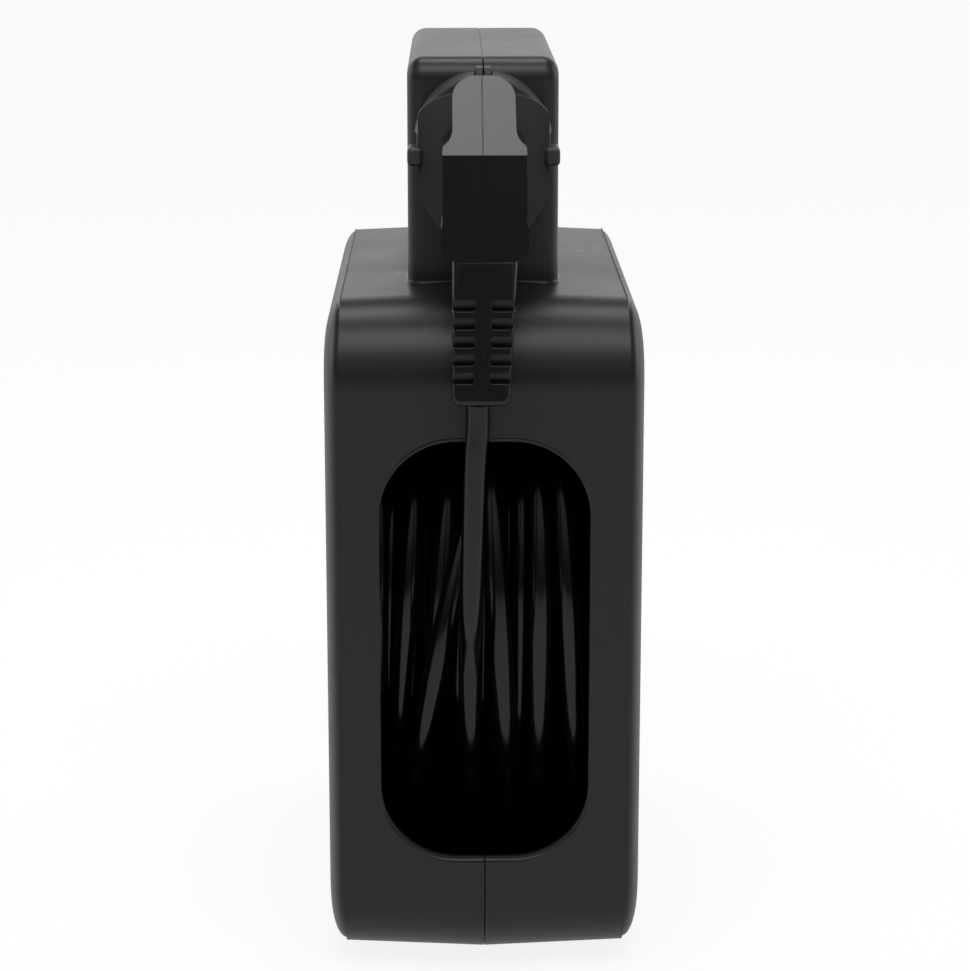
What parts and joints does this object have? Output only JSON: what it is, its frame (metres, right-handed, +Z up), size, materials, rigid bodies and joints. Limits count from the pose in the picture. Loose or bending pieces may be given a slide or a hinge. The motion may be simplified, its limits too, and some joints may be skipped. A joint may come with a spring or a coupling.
{
  "type": "extension cord reel",
  "caption": "Boxed extension cord reel with a carrying handle, an earthed socket drum that winds the cord, and an angled plug parked on the handle.",
  "frame": {"origin": "on the ground under the middle of the housing", "axes": "+X towards the socket side, +Y towards the back, away from the cord outlet, +Z up"},
  "size_m": [0.096, 0.2049, 0.277],
  "materials": {
    "housing_plastic": "finely grained moulded",
    "drum_plastic": "smooth moulded",
    "panel_plastic": "satin moulded",
    "cord_rubber": "satin sheath",
    "plug_rubber": "satin moulded",
    "button_plastic": "gloss",
    "rail_brass": "bright",
    "contact_nickel": "nickel plated",
    "screw_steel": "zinc plated"
  },
  "bodies": {
    "housing": {"housing_right": "housing_plastic", "housing_left": "housing_plastic", "housing_screw_1": "screw_steel", "housing_screw_2": "screw_steel", "housing_screw_3": "screw_steel", "housing_screw_4": "screw_steel", "housing_screw_5": "screw_steel", "housing_screw_6": "screw_steel"},
    "drum": {"drum_core": "drum_plastic", "drum_flange": "drum_plastic", "socket_panel": "panel_plastic", "socket_1": "panel_plastic", "socket_2": "panel_plastic", "socket_3": "panel_plastic", "socket_4": "panel_plastic", "earth_clip_1": "contact_nickel", "earth_clip_2": "contact_nickel", "earth_clip_3": "contact_nickel", "earth_clip_4": "contact_nickel", "live_rail": "rail_brass", "neutral_rail": "rail_brass", "contact_base": "drum_plastic", "panel_screw_1": "screw_steel", "panel_screw_2": "screw_steel", "panel_screw_3": "screw_steel", "panel_screw_4": "screw_steel", "thermal_cutout": "drum_plastic", "cord_clamp": "drum_plastic", "clamp_screw_1": "screw_steel", "clamp_screw_2": "screw_steel", "knob_pin": "screw_steel", "winding_core": "cord_rubber", "winding": "cord_rubber"},
    "reset_button": {"reset_button": "button_plastic"},
    "knob": {"winding_knob": "drum_plastic"},
    "plug": {"plug_body": "plug_rubber", "plug_pin_1": "contact_nickel", "plug_pin_2": "contact_nickel", "earth_strip_1": "contact_nickel", "earth_strip_2": "contact_nickel", "free_cord": "cord_rubber"}
  },
  "joints": [
    {"name": "drum_spin", "type": "hinge", "parent": "housing", "child": "drum", "pos_m": [0, 0, 0.105], "axis": [1, 0, 0], "continuous": true, "deforming": ["free_cord"]},
    {"name": "knob_spin", "type": "hinge", "parent": "drum", "child": "knob", "pos_m": [0.0402, 0, 0.152], "axis": [1, 0, 0], "continuous": true},
    {"name": "reset_press", "type": "slide", "parent": "drum", "child": "reset_button", "axis": [-1, 0, 0], "range_m": [0, 0.002], "stiffness_N_per_m": 900, "springref_m": -0.003},
    {"name": "plug_pull", "type": "slide", "parent": "housing", "child": "plug", "axis": [0, -1, 0], "range_m": [0, 0.024]}
  ]
}
